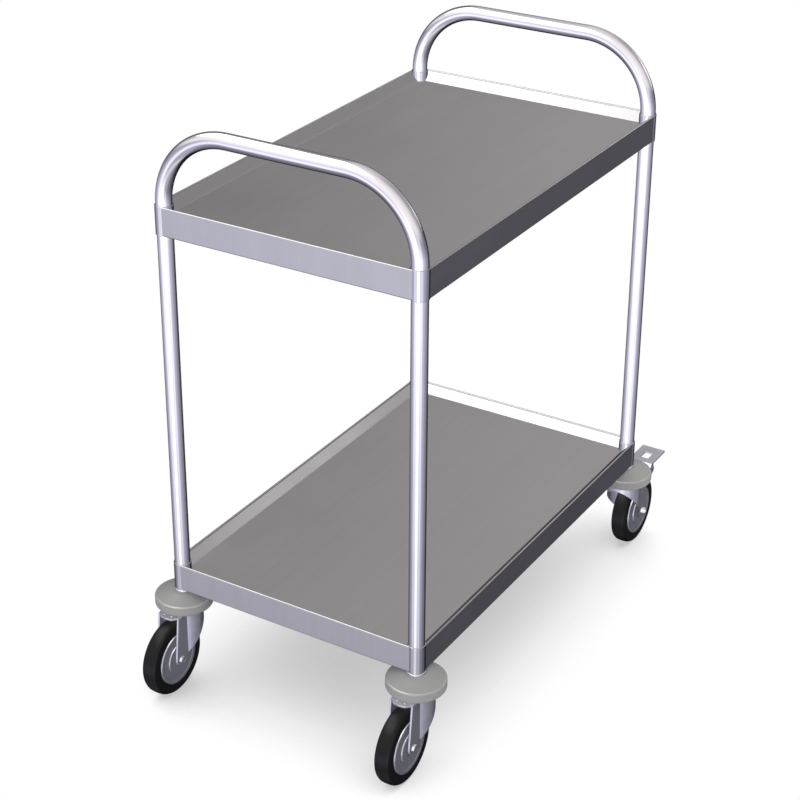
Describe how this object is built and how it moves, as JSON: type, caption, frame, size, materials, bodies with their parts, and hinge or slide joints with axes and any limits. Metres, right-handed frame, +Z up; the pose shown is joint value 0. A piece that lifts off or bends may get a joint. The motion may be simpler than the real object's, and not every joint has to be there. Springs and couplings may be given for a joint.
{
  "type": "service cart",
  "caption": "Two-tier stainless steel service cart: bent tube end frames with push handles, trays with raised edges, swivel casters under round bumpers, foot brakes at the rear.",
  "frame": {"origin": "on the floor under the middle of the whole cart, brake pedals included", "axes": "+Z up, +Y along the cart towards the braked end, +X across it"},
  "size_m": [0.522, 0.9495, 0.9535],
  "materials": {
    "frame_tube": "polished stainless tube",
    "tray_sheet": "satin stainless sheet",
    "tray_rib": "satin stainless sheet",
    "collar": "satin stainless",
    "bumper": "matte grey",
    "stem": "zinc plated",
    "bearing_steel": "hardened, bright",
    "fork_steel": "zinc plated pressed sheet",
    "fastener": "zinc plated",
    "sleeve": "plain steel",
    "wheel_centre": "moulded grey plastic",
    "tyre": "black rubber",
    "brake_lever": "zinc plated pressed sheet",
    "brake_shoe": "black rubber"
  },
  "bodies": {
    "cart_frame": {"front_end_frame": "frame_tube", "rear_end_frame": "frame_tube", "upper_tray": "tray_sheet", "lower_tray": "tray_sheet", "upper_tray_rib": "tray_rib", "lower_tray_rib": "tray_rib", "upper_races": "bearing_steel", "king_nuts": "fastener", "lower_collar_front_left": "collar", "lower_collar_front_right": "collar", "lower_collar_rear_left": "collar", "lower_collar_rear_right": "collar", "upper_collar_front_left": "collar", "upper_collar_front_right": "collar", "upper_collar_rear_left": "collar", "upper_collar_rear_right": "collar", "bumper_front_left": "bumper", "caster_stem_front_left": "stem", "bumper_front_right": "bumper", "caster_stem_front_right": "stem", "bumper_rear_left": "bumper", "caster_stem_rear_left": "stem", "bumper_rear_right": "bumper", "caster_stem_rear_right": "stem"},
    "caster_front_left": {"fork_front_left": "fork_steel", "swivel_balls_front_left": "bearing_steel", "axle_bolt_front_left": "fastener", "axle_nut_front_left": "fastener", "axle_sleeve_front_left": "sleeve"},
    "wheel_front_left": {"wheel_centre_front_left": "wheel_centre", "tyre_front_left": "tyre"},
    "caster_front_right": {"fork_front_right": "fork_steel", "swivel_balls_front_right": "bearing_steel", "axle_bolt_front_right": "fastener", "axle_nut_front_right": "fastener", "axle_sleeve_front_right": "sleeve"},
    "wheel_front_right": {"wheel_centre_front_right": "wheel_centre", "tyre_front_right": "tyre"},
    "caster_rear_left": {"fork_rear_left": "fork_steel", "swivel_balls_rear_left": "bearing_steel", "axle_bolt_rear_left": "fastener", "axle_nut_rear_left": "fastener", "axle_sleeve_rear_left": "sleeve", "brake_pin_rear_left": "fastener"},
    "wheel_rear_left": {"wheel_centre_rear_left": "wheel_centre", "tyre_rear_left": "tyre"},
    "brake_rear_left": {"brake_lever_rear_left": "brake_lever", "brake_shoe_rear_left": "brake_shoe"},
    "caster_rear_right": {"fork_rear_right": "fork_steel", "swivel_balls_rear_right": "bearing_steel", "axle_bolt_rear_right": "fastener", "axle_nut_rear_right": "fastener", "axle_sleeve_rear_right": "sleeve", "brake_pin_rear_right": "fastener"},
    "wheel_rear_right": {"wheel_centre_rear_right": "wheel_centre", "tyre_rear_right": "tyre"},
    "brake_rear_right": {"brake_lever_rear_right": "brake_lever", "brake_shoe_rear_right": "brake_shoe"}
  },
  "joints": [
    {"name": "swivel_front_left", "type": "hinge", "parent": "cart_frame", "child": "caster_front_left", "pos_m": [-0.2145, -0.37225, 0.1405], "axis": [0, 0, 1], "continuous": true},
    {"name": "wheel_spin_front_left", "type": "hinge", "parent": "caster_front_left", "child": "wheel_front_left", "pos_m": [-0.2145, -0.41225, 0.0625], "axis": [1, 0, 0], "continuous": true},
    {"name": "swivel_front_right", "type": "hinge", "parent": "cart_frame", "child": "caster_front_right", "pos_m": [0.2145, -0.37225, 0.1405], "axis": [0, 0, 1], "continuous": true},
    {"name": "wheel_spin_front_right", "type": "hinge", "parent": "caster_front_right", "child": "wheel_front_right", "pos_m": [0.2145, -0.41225, 0.0625], "axis": [1, 0, 0], "continuous": true},
    {"name": "swivel_rear_left", "type": "hinge", "parent": "cart_frame", "child": "caster_rear_left", "pos_m": [-0.2145, 0.35075, 0.1405], "axis": [0, 0, 1], "continuous": true},
    {"name": "wheel_spin_rear_left", "type": "hinge", "parent": "caster_rear_left", "child": "wheel_rear_left", "pos_m": [-0.2145, 0.39075, 0.0625], "axis": [1, 0, 0], "continuous": true},
    {"name": "brake_tilt_rear_left", "type": "hinge", "parent": "caster_rear_left", "child": "brake_rear_left", "pos_m": [-0.2145, 0.38675, 0.131], "axis": [-1, 0, 0], "range_deg": [0, 9]},
    {"name": "swivel_rear_right", "type": "hinge", "parent": "cart_frame", "child": "caster_rear_right", "pos_m": [0.2145, 0.35075, 0.1405], "axis": [0, 0, 1], "continuous": true},
    {"name": "wheel_spin_rear_right", "type": "hinge", "parent": "caster_rear_right", "child": "wheel_rear_right", "pos_m": [0.2145, 0.39075, 0.0625], "axis": [1, 0, 0], "continuous": true},
    {"name": "brake_tilt_rear_right", "type": "hinge", "parent": "caster_rear_right", "child": "brake_rear_right", "pos_m": [0.2145, 0.38675, 0.131], "axis": [-1, 0, 0], "range_deg": [0, 9]}
  ]
}
